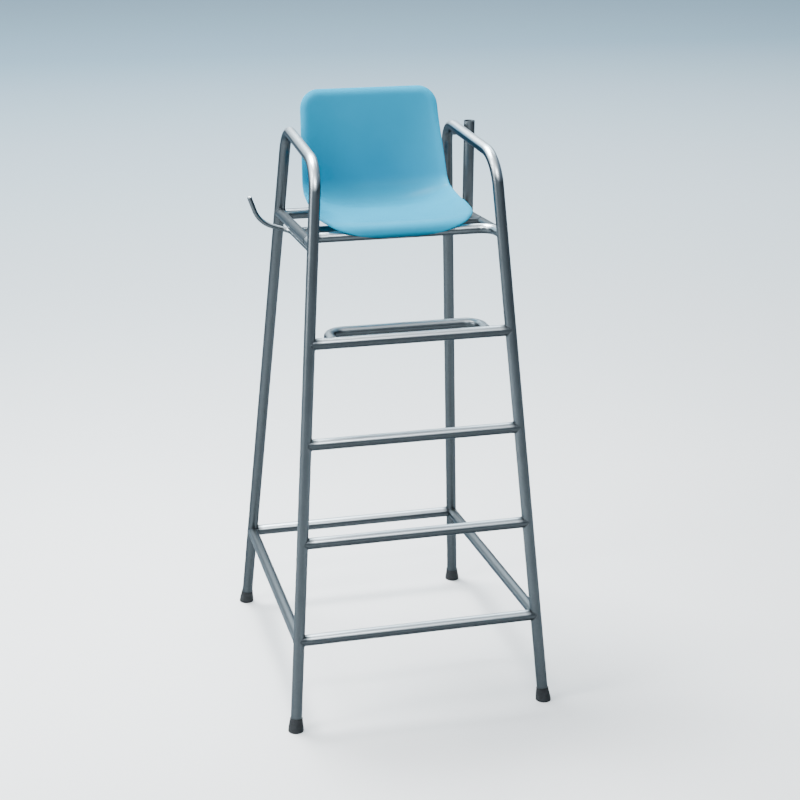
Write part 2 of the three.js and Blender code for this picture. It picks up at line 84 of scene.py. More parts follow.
# Shell bearers and fasteners
BEARER_SPACING = 220 * MM
BEARER_WIDTH = 40 * MM
BEARER_THICKNESS = 6 * MM
FRONT_BOLT_SETBACK = 41 * MM
BOLT_PITCH = 116 * MM
BOLT_RADIUS = 4 * MM
BOLT_HEAD_ACROSS = 13 * MM
BOLT_HEAD_HEIGHT = 5.3 * MM
BOLT_CHAMFER_SHARE = 1.13
BOLT_CHAMFER = 0.9 * MM
BOLT_BITE = 11 * MM
SHANK_OVERLAP = 1 * MM
WASHER_RADIUS = 10 * MM
WASHER_THICKNESS = 1.6 * MM
WASHER_BEVEL = 0.3 * MM
BOSS_RADIUS = 13 * MM
BOSS_BEVEL = 0.8 * MM
BOSS_TOP_DEPTH = 3 * MM
BORE_RUN_OUT = 2 * MM
PLATE_BEVEL = 1 * MM
PLATE_BEVEL_STEPS = 3

# Lifebuoy hook
HOOK_RADIUS = 8 * MM
HOOK_SIDES = 32
HOOK_STATION = 80 * MM
HOOK_REACH = 452 * MM
HOOK_RISE = 111 * MM
HOOK_ROOT_OUT = 6.5 * MM
HOOK_ROOT_DROP = 15.5 * MM
HOOK_BEND = 94 * MM
HOOK_BEND_REACH_SHARE = 0.769
HOOK_BEND_RISE_SHARE = 0.234
HOOK_TIP_SHARE = 0.97
HOOK_TIP_STEPS = 10
HOOK_TIP_BAND = 0.1 * MM
HOOK_RUN_OUT = 3 * MM
HOOK_RUN_BEND = 26 * MM
STITCH_SHARES = (0.25, 0.6, 0.85)
STITCH_LENGTH = 24 * MM
STITCH_RADIUS = 2.6 * MM
STITCH_SIDES = 16

# Parasol tube
PARASOL_RADIUS = 19 * MM
PARASOL_STATION = 183 * MM
PARASOL_DROP = 32.8 * MM
PARASOL_RISE = 15.2 * MM
PARASOL_BEVEL = 0.4 * MM
STOP_THICKNESS = 4 * MM
STOP_DRAIN_RADIUS = 6 * MM
LUG_HEIGHT = 26 * MM
LUG_DROP = 20 * MM
LUG_THICKNESS = 6 * MM

# Feet
FOOT_SIDES = 64
FOOT_HEIGHT = 45 * MM
FOOT_BASE_RADIUS = 26.5 * MM
FOOT_TOP_RADIUS = 21 * MM
FOOT_RIM_HEIGHT = 7 * MM
FOOT_RIM_SHARE = 0.75
FOOT_RIM_STEP = 0.5 * MM
FOOT_BELL_SHARE = 0.8
FOOT_BELL_RINGS = 8
FOOT_SOLE = 9 * MM
FOOT_SOCKET_GAP = 0.2 * MM
FOOT_CENTRE_RADIUS = 1 * MM
COLLAR_DROP = 4 * MM
COLLAR_STEP = 0.7 * MM
COLLAR_EDGE_DROPS = (3.4 * MM, 0.8 * MM)
FOOT_BEVEL = 0.8 * MM
FOOT_BEVEL_STEPS = 3

# Seat shell. Lists of four run from the top of the back over the crease and the pan to the lip.
SHELL_THICKNESS = 4.5 * MM
SHELL_ROWS = 60
SHELL_CORNER_ROWS = 12
SHELL_COLUMNS = 48
SHELL_BEND_STEPS = 24
COLUMN_CROWDING = 0.9
PAN_LIFT = 40 * MM
BACK_HEIGHT = 389 * MM
BACK_SLOPE = math.tan(math.radians(9.1))
CREASE_SETBACK = 377 * MM
CREASE_RADIUS = 95 * MM
LIP_REACH = 25 * MM
LIP_RADIUS = 42 * MM
LIP_DROP = 48.5 * MM
LIP_FLAT_HALF = 30 * MM
LIP_CORNER_RUN = 118 * MM
LIP_FULLNESS = 2.4
PAN_HALF = 266 * MM
SHELL_HALVES = [243 * MM, 258 * MM, PAN_HALF, PAN_HALF]
TOP_CORNER = 66 * MM
WING_SHARE = 3.2
WING_DEPTHS = [16 * MM, 76 * MM, 42 * MM, 3 * MM]
RIM_BAND = 26 * MM
RIM_ROLLS = [9 * MM, 9 * MM, 9 * MM, 1 * MM]
# Painted highlight along the rim
RIM_HIGHLIGHT = [1.0, 0.7, 0.45, 0.0]
RIM_HIGHLIGHT_BAND = 38 * MM
# Painted shade at the lip's lower edge
RIM_SHADE = [0.0, 0.0, 0.0, 1.0]
RIM_SHADE_BAND = 18 * MM
# Painted highlight on the lip's bend
LIP_HIGHLIGHT = 0.6
LIP_HIGHLIGHT_SETBACK = 41 * MM
LIP_HIGHLIGHT_BAND = 22 * MM

# Weld beads
BEAD_RADIUS = 1.7 * MM
BEAD_SEGMENTS = 128
BEAD_SIDES = 6
BEAD_RIPPLES = 32
BEAD_SWELL = 0.16
BEAD_SEARCH_STEPS = 14

# Fineness of the meshes. Angles are in degrees.
TUBE_SIDES = 48
DISC_SIDES = 48
BORE_SIDES = 32
BEND_STEPS = 16
MERGE_DISTANCE = 0.01 * MM
SMOOTH_ANGLE = 35
SOFT_SMOOTH_ANGLE = 40
BEAD_SMOOTH_ANGLE = 60
SHARP_EDGE_ANGLE = 40
FOOT_EDGE_ANGLE = 50

# Steel. Colours are linear; a grain is the fineness of a pattern along X, Y and Z.
STEEL_DARK = (0.075, 0.089, 0.099)
STEEL_LIGHT = (0.093, 0.11, 0.122)
# Painted shade, then a painted highlight for surfaces that face up
STEEL_SHADE = (0.028, 0.034, 0.038)
STEEL_HIGHLIGHT = (0.75, 0.83, 0.87)
STEEL_FLECK = (0.15, 0.172, 0.187)
STEEL_EDGE = (0.4, 0.43, 0.46, 1)
GRAIN_X, GRAIN_Y, GRAIN_Z = (900, 12, 12), (12, 900, 12), (12, 12, 900)
GRAIN_EVEN = (300, 300, 300)
GRAIN_WELD = (400, 400, 400)
STEEL_CLOUD_GRAIN = (7, 7, 7)
FLECK_GRAIN = (140, 140, 140)
SATIN_ROUGH = (0.3, 0.38)
POLE_ROUGH = (0.42, 0.5)
WELD_ROUGH = (0.5, 0.6)
CLOUD_BAND = (0.3, 0.7)
FLECK_AMOUNT = 0.15
# Painted shade near the deck, behind and underneath, and the painted highlight on top
DECK_SHADE = 0.95
DECK_REACH = 1.1
DECK_TILT = -0.35
REAR_BAND = (0.08, 0.3)
REAR_SHADE = 0.65
UNDERSIDE_BAND = 0.4
HIGHLIGHT_BAND = 0.26
HIGHLIGHT_END_BAND = (40 * MM, 20 * MM)
MARK_DEPTH = 0.02 * MM
MARK_STRENGTH = 0.2

# Plastic and rubber
PLASTIC_DARK = (0.0, 0.208, 0.345)
PLASTIC_LIGHT = (0.0, 0.228, 0.375)
PLASTIC_SCUFFED = (0.005, 0.25, 0.41)
# Painted highlight, then painted shade for the shell
PLASTIC_HIGHLIGHT = (0.001, 0.29, 0.48)
PLASTIC_SHADE = (0.0, 0.05, 0.085)
PLASTIC_ROUGH = (0.34, 0.44)
PLASTIC_SPECULAR = 0.05
PLASTIC_CLOUD_GRAIN = (5, 5, 5)
SCUFF_GRAIN = (40, 90, 60)
SCUFF_BAND = (0.62, 0.8)
SCUFF_AMOUNT = 0.22
MOULD_GRAIN = (700, 700, 700)
MOULD_DEPTH = 0.06 * MM
MOULD_STRENGTH = 0.2
RUBBER_CLEAN = (0.009, 0.011, 0.013)
RUBBER_DUSTY = (0.022, 0.025, 0.028)
RUBBER_ROUGH = (0.55, 0.8)
RUBBER_SPECULAR = 0.2
DUST_GRAIN = (60, 60, 60)
DUST_BAND = (0.4, 0.75)
RUBBER_GRAIN = (600, 600, 600)
RUBBER_DEPTH = 0.15 * MM
RUBBER_STRENGTH = 0.5

# Camera, fitted to the photograph. Angles are in radians, lens and sensor in millimetres.
CAMERA_PLACE = (-1.5449, -5.8703, 3.1069)
CAMERA_YAW = 0.266
CAMERA_PITCH = -0.339
CAMERA_ROLL = 0.008
CAMERA_LENS = 82.55
CAMERA_NEAR, CAMERA_FAR = 0.05, 600
SENSOR = 36

# Studio. A stop is a place along a ramp with its colour.
FLOOR_SIZE = 400
FLOOR_ROUGH = 0.8
FLOOR_BAND = (1.5, 14.0)
FLOOR_STOPS = [(0.0, (0.85, 0.87, 0.875)), (0.4, (0.7, 0.79, 0.835)), (1.0, (0.36, 0.55, 0.68))]
ROOM_STOPS = [(0.0, (0.7, 0.8, 0.86)), (0.3, (0.75, 0.84, 0.9)), (0.8, (1.0, 1.0, 1.0))]
ROOM_SHADE = (0.09, 0.13, 0.18)
ROOM_SHADE_BAND = (-0.8, 0.8)
ROOM_STRENGTH = 1.3
WHITE = (1, 1, 1)
PALE_BLUE = (0.82, 0.93, 1)

# Area lights: name, place, target, width and length, power, colour
AREA_LIGHTS = [
    ("overhead", (-0.6, 1.0, 4.3), (0, 0.2, 0), (1.1, 1.1), 360, WHITE),
    ("left_key", (-4.4, -0.8, 2.6), (0, 0, 1.4), (1.2, 2.4), 175, WHITE),
    ("front_strip", (-0.8, -5.0, 5.6), (0, 0, 1.2), (3.5, 0.9), 290, WHITE),
    ("left_high", (-3.2, -1.0, 4.8), (0, 0, 1.7), (1.0, 1.0), 60, WHITE),
    ("far_wash", (0, 8, 9), (0, 8, 0), (16, 10), 2200, PALE_BLUE),
]


# Work on objects
def deselect():
    bpy.ops.object.select_all(action="DESELECT")


def activate(obj):
    deselect()
    obj.select_set(True)
    bpy.context.view_layer.objects.active = obj
    return obj


def settle(name):
    """Names the object that was just added and puts its place into its mesh."""
    obj = activate(bpy.context.object)
    obj.name = name
    bpy.ops.object.transform_apply(location=True, rotation=True, scale=True)
    return obj


def apply_modifier(obj, kind, **settings):
    activate(obj)
    modifier = obj.modifiers.new(kind.lower(), kind)
    for key, value in settings.items():
        setattr(modifier, key, value)
    bpy.ops.object.modifier_apply(modifier=modifier.name)


def bevel_sharp_edges(obj, width, segments=2, degrees=SHARP_EDGE_ANGLE):
    apply_modifier(obj, "BEVEL", width=width, segments=segments, limit_method="ANGLE",
                   angle_limit=math.radians(degrees))


def combine(obj, other, operation="DIFFERENCE"):
    apply_modifier(obj, "BOOLEAN", object=other, operation=operation, solver="EXACT")


def smooth(obj, degrees=SMOOTH_ANGLE):
    activate(obj)
    bpy.ops.object.shade_smooth_by_angle(angle=math.radians(degrees))


def face_outward():
    """Turns every face of the mesh in Edit Mode outward."""
    bpy.ops.mesh.select_all(action="SELECT")
    bpy.ops.mesh.normals_make_consistent(inside=False)


def joined(name, pieces):
    activate(pieces[0])
    for piece in pieces[1:]:
        piece.select_set(True)
    bpy.ops.object.join()
    pieces[0].name = name
    return pieces[0]


def remove(objects):
    for obj in objects:
        bpy.data.objects.remove(obj)


def dress(obj, material, slot, *nodes):
    """Gives a finished piece its material and body, and hides the nodes that it stands for."""
    obj.data.materials.clear()
    obj.data.materials.append(material)
    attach(obj, "root")
    if nodes:
        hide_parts(*nodes)


# Lines of straight runs and round bends
def bends_of(corners, radii):
    """For each bend: where it starts, its centre, its axis and its turn."""
    found = []
    for before, corner, after, radius in zip(corners, corners[1:], corners[2:], radii):
        incoming = (corner - before).normalized()
        outgoing = (after - corner).normalized()
        turn = incoming.angle(outgoing)
        start = corner - incoming * radius * math.tan(turn / 2)
        inward = (outgoing - incoming * math.cos(turn)).normalized()
        axis = incoming.cross(outgoing).normalized()
        found.append((start, start + inward * radius, axis, turn))
    return found


def line_points(corners, radii):
    """The same line as points, close enough together to measure distances to."""
    points = [corners[0]]
    for start, centre, axis, turn in bends_of(corners, radii):
        for i in range(BEND_STEPS + 1):
            rotation = Matrix.Rotation(turn * i / BEND_STEPS, 3, axis)
            points.append(centre + rotation @ (start - centre))
    return points + [corners[-1]]


def upright_along(direction):
    """The rotation that turns an object's Z axis into the direction."""
    return direction.to_track_quat("Z", "Y").to_euler()


def sweep(name, radius, corners, radii=(), closed=False, sides=TUBE_SIDES):
    """A ring extruded along the straight runs and spun round the bends."""
    deselect()
    bpy.ops.mesh.primitive_circle_add(
        vertices=sides, radius=radius, fill_type="NGON" if closed else "NOTHING",
        location=corners[0], rotation=upright_along(corners[1] - corners[0]))
    obj = settle(name)
    bpy.ops.object.mode_set(mode="EDIT")
    bpy.ops.mesh.select_all(action="SELECT")
    at = corners[0]
    for start, centre, axis, turn in bends_of(corners, radii):
        bpy.ops.mesh.extrude_region_move(TRANSFORM_OT_translate={"value": start - at})
        bpy.ops.mesh.spin(steps=BEND_STEPS, angle=-turn, center=centre, axis=axis)
        at = centre + Matrix.Rotation(turn, 3, axis) @ (start - centre)
    bpy.ops.mesh.extrude_region_move(TRANSFORM_OT_translate={"value": corners[-1] - at})
    bpy.ops.mesh.select_all(action="SELECT")
    bpy.ops.mesh.remove_doubles(threshold=MERGE_DISTANCE)
    face_outward()
    bpy.ops.object.mode_set(mode="OBJECT")
    return obj


def tube(name, radius, corners, radii=(), cutters=()):
    """A tube with its wall, coped by the solids that it is welded to."""
    obj = sweep(name, radius, corners, radii)
    apply_modifier(obj, "SOLIDIFY", thickness=TUBE_WALL, offset=-1)
    for cutter in cutters:
        combine(obj, cutter)
    smooth(obj)
    return obj


# Places on the side frames and on the seat frame. An end is FRONT or REAR.
def leg_setback(z):
    return STANCE_DEPTH / 2 - FORE_LEAN * z


def side_point(side, y, z):
    return Vector((side * (MID_STANCE - INWARD_LEAN * z - PLAN_TOE * y), y, z))


def leg_point(side, end, z):
    return side_point(side, end * leg_setback(z), z)


def arm_point(side, y):
    return side_point(side, y, ARM_HEIGHT + ARM_FALL * y)


def arm_corner(side, end):
    return arm_point(side, end * leg_setback(ARM_HEIGHT) / (1 + end * FORE_LEAN * ARM_FALL))


def seat_height(y):
    return SEAT_BAR_HEIGHT - SEAT_FALL * (y - SEAT_BAR_Y)


def seat_point(side, y):
    return side_point(side, y, seat_height(y))


def seat_place(x, y, lift):
    """A place given by its distance above the seat frame's centre plane."""
    return Vector((x, y + lift * math.sin(SEAT_TILT), seat_height(y) + lift * math.cos(SEAT_TILT)))


# Places along the seat frame that follow from its fall and from the lean of the legs
SEAT_LEG_Y = leg_setback(SEAT_BAR_HEIGHT)
SEAT_BAR_Y = SEAT_LEG_Y * (2 * SEAT_BAR_SHARE - 1)
REAR_SEAT_Y = leg_setback(seat_height(SEAT_LEG_Y))
REAR_RAIL_HEIGHT = seat_height(REAR_SEAT_Y) - REAR_RAIL_DROP
CROSSBAR_Y = SEAT_BAR_Y + CROSSBAR_SHARE * (SEAT_LEG_Y - SEAT_BAR_Y)
BOLT_YS = [("front", CROSSBAR_Y + FRONT_BOLT_SETBACK),
           ("rear", CROSSBAR_Y + FRONT_BOLT_SETBACK + BOLT_PITCH)]


# Centre lines. A bent one comes with the radii of its bends.
def side_line(side):
    corners = [leg_point(side, FRONT, LEG_END_HEIGHT), arm_corner(side, FRONT),
               arm_corner(side, REAR), leg_point(side, REAR, LEG_END_HEIGHT)]
    return corners, [ARM_FRONT_BEND, ARM_REAR_BEND]


def leg_line(side, end):
    """The straight line of one leg, up to its corner with the arm."""
    corners, _ = side_line(side)
    return corners[:2] if end == FRONT else corners[2:]


def bar_line(end, z):
    return [leg_point(RIGHT, end, z), leg_point(LEFT, end, z)]


def base_side_line(side):
    return [leg_point(side, FRONT, BASE_HEIGHT), leg_point(side, REAR, BASE_HEIGHT)]


def footrest_line():
    rung_y = -leg_setback(FOOTREST_HEIGHT)
    bar_y = rung_y + FOOTREST_DEPTH
    places = [(-FOOTREST_HALF, rung_y), (-FOOTREST_HALF, bar_y),
              (FOOTREST_HALF, bar_y), (FOOTREST_HALF, rung_y)]
    return [Vector((x, y, FOOTREST_HEIGHT)) for x, y in places], [FOOTREST_BEND] * 2


def seat_bar_line():
    places = [(RIGHT, -SEAT_LEG_Y), (RIGHT, SEAT_BAR_Y), (LEFT, SEAT_BAR_Y), (LEFT, -SEAT_LEG_Y)]
    return [seat_point(side, y) for side, y in places], [SEAT_BAR_BEND] * 2


def seat_side_line(side):
    return [seat_point(side, SEAT_BAR_Y - SEAT_BAR_BEND * NOSE_SHARE),
            seat_point(side, REAR_SEAT_Y)]


def seat_cross_line():
    return [seat_point(RIGHT, CROSSBAR_Y), seat_point(LEFT, CROSSBAR_Y)]


# Materials
class Shading:
    """The nodes of a material or of the world, and the steps that its looks are built from."""

    def __init__(self, owner):
        owner.use_nodes = True
        self.nodes, self.links = owner.node_tree.nodes, owner.node_tree.links

    def axes(self, output):
        """The X, Y and Z outputs of a texture coordinate."""
        place = self.nodes.new("ShaderNodeTexCoord")
        split = self.nodes.new("ShaderNodeSeparateXYZ")
        self.links.new(place.outputs[output], split.inputs["Vector"])
        return split.outputs

    def pattern(self, grain, detail, roughness=0.5):
        """Noise on Object coordinates."""
        place = self.nodes.new("ShaderNodeTexCoord")
        mapping = self.nodes.new("ShaderNodeMapping")
        noise = self.nodes.new("ShaderNodeTexNoise")
        mapping.inputs["Scale"].default_value = grain
        noise.inputs["Scale"].default_value = 1.0
        noise.inputs["Detail"].default_value = detail
        noise.inputs["Roughness"].default_value = roughness
        self.links.new(place.outputs["Object"], mapping.inputs["Vector"])
        self.links.new(mapping.outputs["Vector"], noise.inputs["Vector"])
        return noise.outputs["Fac"]

    def ramp(self, value, stops):
        """Turns a 0 to 1 value into a colour through the given stops."""
        band = self.nodes.new("ShaderNodeValToRGB")
        elements = band.color_ramp.elements
        for element, (at, colour) in zip(elements, (stops[0], stops[-1])):
            element.position, element.color = at, (*colour, 1)
        for at, colour in stops[1:-1]:
            elements.new(at).color = (*colour, 1)
        self.links.new(value, band.inputs["Fac"])
        return band.outputs["Color"]

    def spread(self, value, low, high, start=0.0, end=1.0):
        """Maps a value that runs from start to end to the range from low to high."""
        node = self.nodes.new("ShaderNodeMapRange")
        node.inputs["From Min"].default_value = start
        node.inputs["From Max"].default_value = end
        node.inputs["To Min"].default_value = low
        node.inputs["To Max"].default_value = high
        self.links.new(value, node.inputs["Value"])
        return node.outputs["Result"]

    def calculate(self, operation, *values):
        """One operation on values, each of them a socket or a float."""
        node = self.nodes.new("ShaderNodeMath")
        node.operation = operation
        for socket, value in zip(node.inputs, values):
            if isinstance(value, float):
                socket.default_value = value
            else:
                self.links.new(value, socket)
        return node.outputs["Value"]

    def mixed(self, value, base, over):
        """One colour laid over another as much as the value says."""
        node = self.nodes.new("ShaderNodeMix")
        node.data_type = "RGBA"
        self.links.new(value, node.inputs["Factor"])
        for key, colour in (("A", base), ("B", over)):
            if isinstance(colour, tuple):
                node.inputs[key].default_value = (*colour, 1)
            else:
                self.links.new(colour, node.inputs[key])
        return node.outputs["Result"]


class Material(Shading):
    """A new material with its shader."""

    def __init__(self, name):
        self.material = bpy.data.materials.new(name)
        super().__init__(self.material)
        self.shader = self.nodes["Principled BSDF"]

    def fix(self, key, value):
        """Sets an input that is the same all over."""
        self.shader.inputs[key].default_value = value

    def feed(self, key, socket):
        self.links.new(socket, self.shader.inputs[key])

    def bump(self, height, distance, strength):
        node = self.nodes.new("ShaderNodeBump")
        node.inputs["Strength"].default_value = strength
        node.inputs["Distance"].default_value = distance
        self.links.new(height, node.inputs["Height"])
        self.feed("Normal", node.outputs["Normal"])


def brushed_tube_steel(name, grain, top_highlight, short_highlight=False, rough=SATIN_ROUGH, highlight_from=0.2,
                       shade_to=-0.1, behind=0.0):
    """Satin stainless, with a painted highlight on top and painted shade near the deck, underneath
    and behind.

    grain is the fineness of the polishing marks, and top_highlight is how bright the painted
    highlight on top is.
    highlight_from is how far up a surface faces where the painted highlight starts, and shade_to
    how far up it faces where the painted shade underneath ends, both from -1 to 1.
    behind is how much painted shade the back of the chair gets. With short_highlight, the painted
    highlight stops short of the legs."""
    steel = Material(name)
    marks = steel.pattern(grain, detail=4.0)
    clouds = steel.pattern(STEEL_CLOUD_GRAIN, detail=4.0)
    flecks = steel.pattern(FLECK_GRAIN, detail=5.0)
    at = steel.axes("Object")
    up = steel.axes("Normal")["Z"]
    body = steel.ramp(clouds, list(zip(CLOUD_BAND, (STEEL_DARK, STEEL_LIGHT))))
    # Painted shade: darker towards the deck, reaching higher at the back
    above_deck = steel.calculate("MULTIPLY_ADD", at["Y"], DECK_TILT, at["Z"])
    shade_near_deck = steel.spread(above_deck, DECK_SHADE, 0.0, 0.0, DECK_REACH)
    body = steel.mixed(shade_near_deck, body, STEEL_SHADE)
    # Painted shade on the back of the chair
    rearward = steel.spread(at["Y"], 0.0, behind, *REAR_BAND)
    body = steel.mixed(rearward, body, STEEL_SHADE)
    # Painted shade on surfaces that face down
    under = steel.spread(up, 1.0, 0.0, shade_to - UNDERSIDE_BAND, shade_to)
    body = steel.mixed(under, body, STEEL_SHADE)
    # Painted highlight on surfaces that face up
    lit_top = steel.spread(up, 0.0, top_highlight, highlight_from, highlight_from + HIGHLIGHT_BAND)
    if short_highlight:
        reach = steel.calculate("ABSOLUTE", at["X"])
        reach = steel.calculate("MULTIPLY_ADD", at["Z"], INWARD_LEAN, reach)
        reach = steel.calculate("MULTIPLY_ADD", at["Y"], PLAN_TOE, reach)
        between = steel.spread(reach, 1.0, 0.0, *(MID_STANCE - band for band in HIGHLIGHT_END_BAND))
        lit_top = steel.calculate("MULTIPLY", lit_top, between)
    body = steel.mixed(lit_top, body, STEEL_HIGHLIGHT)
    body = steel.mixed(steel.spread(flecks, 0.0, FLECK_AMOUNT), body, STEEL_FLECK)
    steel.feed("Base Color", body)
    steel.fix("Specular Tint", STEEL_EDGE)
    steel.fix("Metallic", 1.0)
    steel.feed("Roughness", steel.spread(marks, *rough))
    steel.bump(marks, MARK_DEPTH, MARK_STRENGTH)
    return steel.material


def moulded_plastic():
    """The shell's attribute "rim": painted highlight above zero, painted shade below zero."""
    plastic = Material("light_blue_moulded_plastic")
    clouds = plastic.pattern(PLASTIC_CLOUD_GRAIN, detail=3.0)
    mould = plastic.pattern(MOULD_GRAIN, detail=2.0)
    scuffs = plastic.pattern(SCUFF_GRAIN, detail=8.0, roughness=0.7)
    body = plastic.ramp(clouds, list(zip(CLOUD_BAND, (PLASTIC_DARK, PLASTIC_LIGHT))))
    scuffed = plastic.spread(scuffs, 0.0, SCUFF_AMOUNT, *SCUFF_BAND)
    body = plastic.mixed(scuffed, body, PLASTIC_SCUFFED)
    rim = plastic.nodes.new("ShaderNodeAttribute")
    rim.attribute_name = "rim"
    # Painted highlight where the attribute is above zero
    body = plastic.mixed(rim.outputs["Fac"], body, PLASTIC_HIGHLIGHT)
    # Painted shade where the attribute is below zero
    painted_shade = plastic.calculate("MULTIPLY", rim.outputs["Fac"], -1.0)
    plastic.feed("Base Color", plastic.mixed(painted_shade, body, PLASTIC_SHADE))
    plastic.fix("Specular IOR Level", PLASTIC_SPECULAR)
    plastic.feed("Roughness", plastic.spread(scuffs, *PLASTIC_ROUGH))
    plastic.bump(mould, MOULD_DEPTH, MOULD_STRENGTH)
    return plastic.material


def foot_rubber():
    rubber = Material("black_foot_rubber")
    grain = rubber.pattern(RUBBER_GRAIN, detail=4.0)
    dust = rubber.pattern(DUST_GRAIN, detail=5.0)
    body = rubber.ramp(dust, list(zip(DUST_BAND, (RUBBER_CLEAN, RUBBER_DUSTY))))
    rubber.feed("Base Color", body)
    rubber.feed("Roughness", rubber.spread(dust, *RUBBER_ROUGH))
    rubber.fix("Specular IOR Level", RUBBER_SPECULAR)
    rubber.bump(grain, RUBBER_DEPTH, RUBBER_STRENGTH)
    return rubber.material


# The numbers below set how bright each steel's painted top highlight is and its painted shade
# behind
TREAD = brushed_tube_steel("tread_steel", GRAIN_X, top_highlight=1.0, short_highlight=True, highlight_from=0.3,
                           shade_to=0.3)
FOOTHOLD = brushed_tube_steel("footrest_steel", GRAIN_X, top_highlight=0.9, highlight_from=0.48,
                              shade_to=0.2)
ROD = brushed_tube_steel("hook_rod_steel", GRAIN_X, top_highlight=0.7, highlight_from=0.35)
POLE = brushed_tube_steel("parasol_tube_steel", GRAIN_Z, top_highlight=0.0, rough=POLE_ROUGH,
                          behind=REAR_SHADE)
HANDHOLD = brushed_tube_steel("handhold_steel", GRAIN_Z, top_highlight=1.0, highlight_from=0.24,
                              behind=REAR_SHADE)
STEEL_X = brushed_tube_steel("satin_steel_along_x", GRAIN_X, top_highlight=0.22, behind=REAR_SHADE)
STEEL_Y = brushed_tube_steel("satin_steel_along_y", GRAIN_Y, top_highlight=0.22)
COVERED = brushed_tube_steel("covered_steel", GRAIN_EVEN, top_highlight=0.0)
FIXING = brushed_tube_steel("zinc_fixings", GRAIN_EVEN, top_highlight=0.4)
WELD = brushed_tube_steel("weld_bead_steel", GRAIN_WELD, top_highlight=0.0, rough=WELD_ROUGH)
PLASTIC = moulded_plastic()
RUBBER = foot_rubber()


# Camera and studio
def camera():
    data = bpy.data.cameras.new("camera")
    obj = bpy.data.objects.new("camera", data)
    bpy.context.scene.collection.objects.link(obj)
    data.sensor_width = SENSOR
    data.lens = CAMERA_LENS
    data.clip_start, data.clip_end = CAMERA_NEAR, CAMERA_FAR
    ahead = Vector((math.sin(CAMERA_YAW) * math.cos(CAMERA_PITCH),
                    math.cos(CAMERA_YAW) * math.cos(CAMERA_PITCH), math.sin(CAMERA_PITCH)))
    across = Vector((math.cos(CAMERA_YAW), -math.sin(CAMERA_YAW), 0))
    above = across.cross(ahead)
    right = across * math.cos(CAMERA_ROLL) + above * math.sin(CAMERA_ROLL)
    top = above * math.cos(CAMERA_ROLL) - across * math.sin(CAMERA_ROLL)
    turn = Matrix((right, top, -ahead)).transposed().to_4x4()
    obj.matrix_world = Matrix.Translation(CAMERA_PLACE) @ turn
    bpy.context.scene.camera = obj


def area_light(name, place, target, size, power, colour):
    data = bpy.data.lights.new(name, "AREA")
    data.shape = "RECTANGLE"
    data.size, data.size_y = size
    data.energy = power
    data.color = colour
    obj = bpy.data.objects.new(name, data)
    bpy.context.scene.collection.objects.link(obj)
    obj.location = place
    obj.rotation_euler = (Vector(target) - Vector(place)).to_track_quat("-Z", "Y").to_euler()


def room():
    """Soft light from all round, brightest overhead and dimmer on the camera's right."""
    world = bpy.data.worlds.new("studio")
    bpy.context.scene.world = world
    light = Shading(world)
    at = light.axes("Generated")
    height_colour = light.ramp(at["Z"], ROOM_STOPS)
    shade = light.spread(at["X"], 0.0, 1.0, *ROOM_SHADE_BAND)
    background = light.nodes["Background"]
    light.links.new(light.mixed(shade, height_colour, ROOM_SHADE), background.inputs["Color"])
    background.inputs["Strength"].default_value = ROOM_STRENGTH


def floor():
    """A plain pale floor, slightly blue far behind."""
    deselect()
    bpy.ops.mesh.primitive_plane_add(size=FLOOR_SIZE, location=(0, 0, 0))
    plane = bpy.context.object
    plane.name = "floor"
    pale = Material("pale_floor")
    far = pale.spread(pale.axes("Object")["Y"], 0.0, 1.0, *FLOOR_BAND)
    pale.feed("Base Color", pale.ramp(far, FLOOR_STOPS))
    pale.fix("Roughness", FLOOR_ROUGH)
    plane.data.materials.append(pale.material)


# Weld beads, gathered here and joined into one piece at the end
BEADS = []


def weld(radius, start, toward, host_points, host_radius):
    """A rippled bead where a branch tube, that runs from start on the host, leaves the host."""
    axis = (toward - start).normalized()
    deselect()
    bpy.ops.mesh.primitive_torus_add(
        major_segments=BEAD_SEGMENTS, minor_segments=BEAD_SIDES, major_radius=radius,
        minor_radius=BEAD_RADIUS, location=start, rotation=upright_along(axis))
    bead = settle("weld_bead")
    hosts = [(a, (b - a).normalized(), (b - a).length)
             for a, b in zip(host_points, host_points[1:])]

    def depth(point):
        return min((point - a - d * min(max((point - a).dot(d), 0), length)).length
                   for a, d, length in hosts)

    def way_out(surface):
        """How far along the branch a line on its surface leaves the host."""
        near, far = 0.0, 3 * host_radius
        for _ in range(BEAD_SEARCH_STEPS):
            middle = (near + far) / 2
            if depth(surface + axis * middle) < host_radius:
                near = middle
            else:
                far = middle
        return (near + far) / 2

    ways = {}
    for vertex in bead.data.vertices:
        offset = vertex.co - start
        turn = (offset - axis * offset.dot(axis)).normalized()
        ring = turn * radius
        key = tuple(round(c, 4) for c in turn)
        if key not in ways:
            ways[key] = way_out(start + ring)
        side = axis.orthogonal()
        angle = math.atan2(turn.dot(side), turn.dot(axis.cross(side)))
        swell = 1 + BEAD_SWELL * math.sin(BEAD_RIPPLES * angle)
        vertex.co = start + ring + axis * ways[key] + (vertex.co - start - ring) * swell
    BEADS.append(bead)


def weld_ends(radius, corners, first_host, last_host, host_radius):
    """Beads at both ends of a bar."""
    weld(radius, corners[0], corners[1], first_host, host_radius)
    weld(radius, corners[-1], corners[-2], last_host, host_radius)


# Frame. A cutter is the filled copy of a tube, which copes the tubes welded to it.
def build_side_frames():
    legs = []
    for word, side in SIDES:
        corners, radii = side_line(side)
        legs.append(sweep(f"{word}_frame_cutter", LEG_RADIUS, corners, radii, closed=True))
        frame_tube = tube(f"{word}_frame_tube", LEG_RADIUS, corners, radii)
        dress(frame_tube, HANDHOLD, "steel_tube", f"{word}_side_frame")
    return legs


